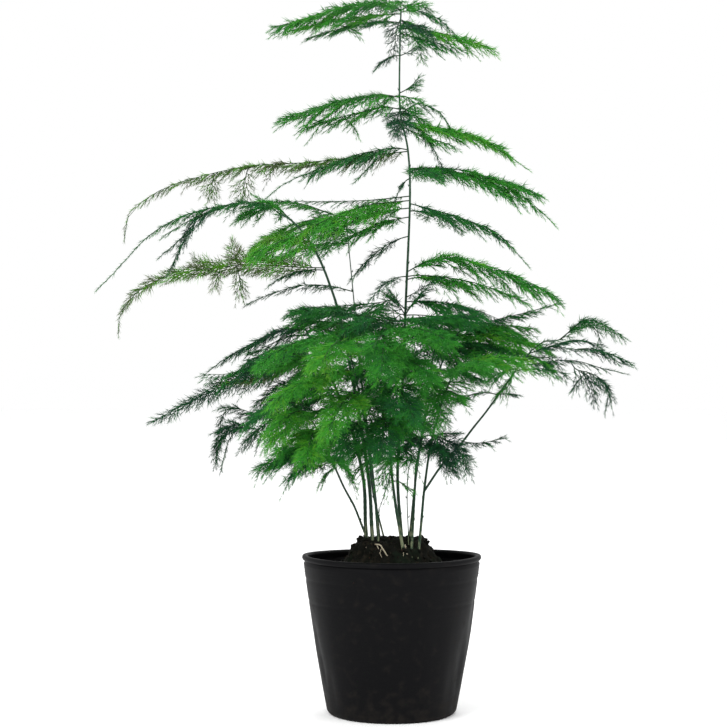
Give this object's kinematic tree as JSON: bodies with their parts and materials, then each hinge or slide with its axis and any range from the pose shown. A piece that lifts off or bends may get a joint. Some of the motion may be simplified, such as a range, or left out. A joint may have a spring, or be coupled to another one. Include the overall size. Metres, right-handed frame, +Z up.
{
  "type": "potted lace fern",
  "caption": "Wiry stems with tiers of flat, arching, needle-leaved fronds above a dense bushy base, growing in a tapered black nursery pot.",
  "frame": {"origin": "centre of the pot's flat base", "axes": "+Z up along the pot, -Y towards the front, where the long left-hand fronds point to -X"},
  "size_m": [0.3506, 0.2232, 0.473],
  "materials": {
    "pot": "soft black nursery-pot plastic with a satin sheen, faint rings and dents",
    "soil": "moist dark peat compost with fibres and crumbs",
    "root": "pale dry root skin",
    "foliage": "living green needles and dark green wiry stems, slightly waxy"
  },
  "bodies": {
    "root": {"pot": "pot", "soil": "soil", "surface_root_left": "root", "surface_root_right": "root", "leafy_stem_tall": "foliage", "leafy_stem_left_arching": "foliage", "leafy_stem_back_arching": "foliage", "leafy_stem_low_left": "foliage", "leafy_stem_left": "foliage", "leafy_stem_front_left": "foliage", "leafy_stem_middle": "foliage", "leafy_stem_right": "foliage", "leafy_stem_front_right": "foliage", "leafy_stem_low_right": "foliage", "leafy_stem_back_left": "foliage", "leafy_stem_back_right": "foliage"}
  },
  "joints": []
}
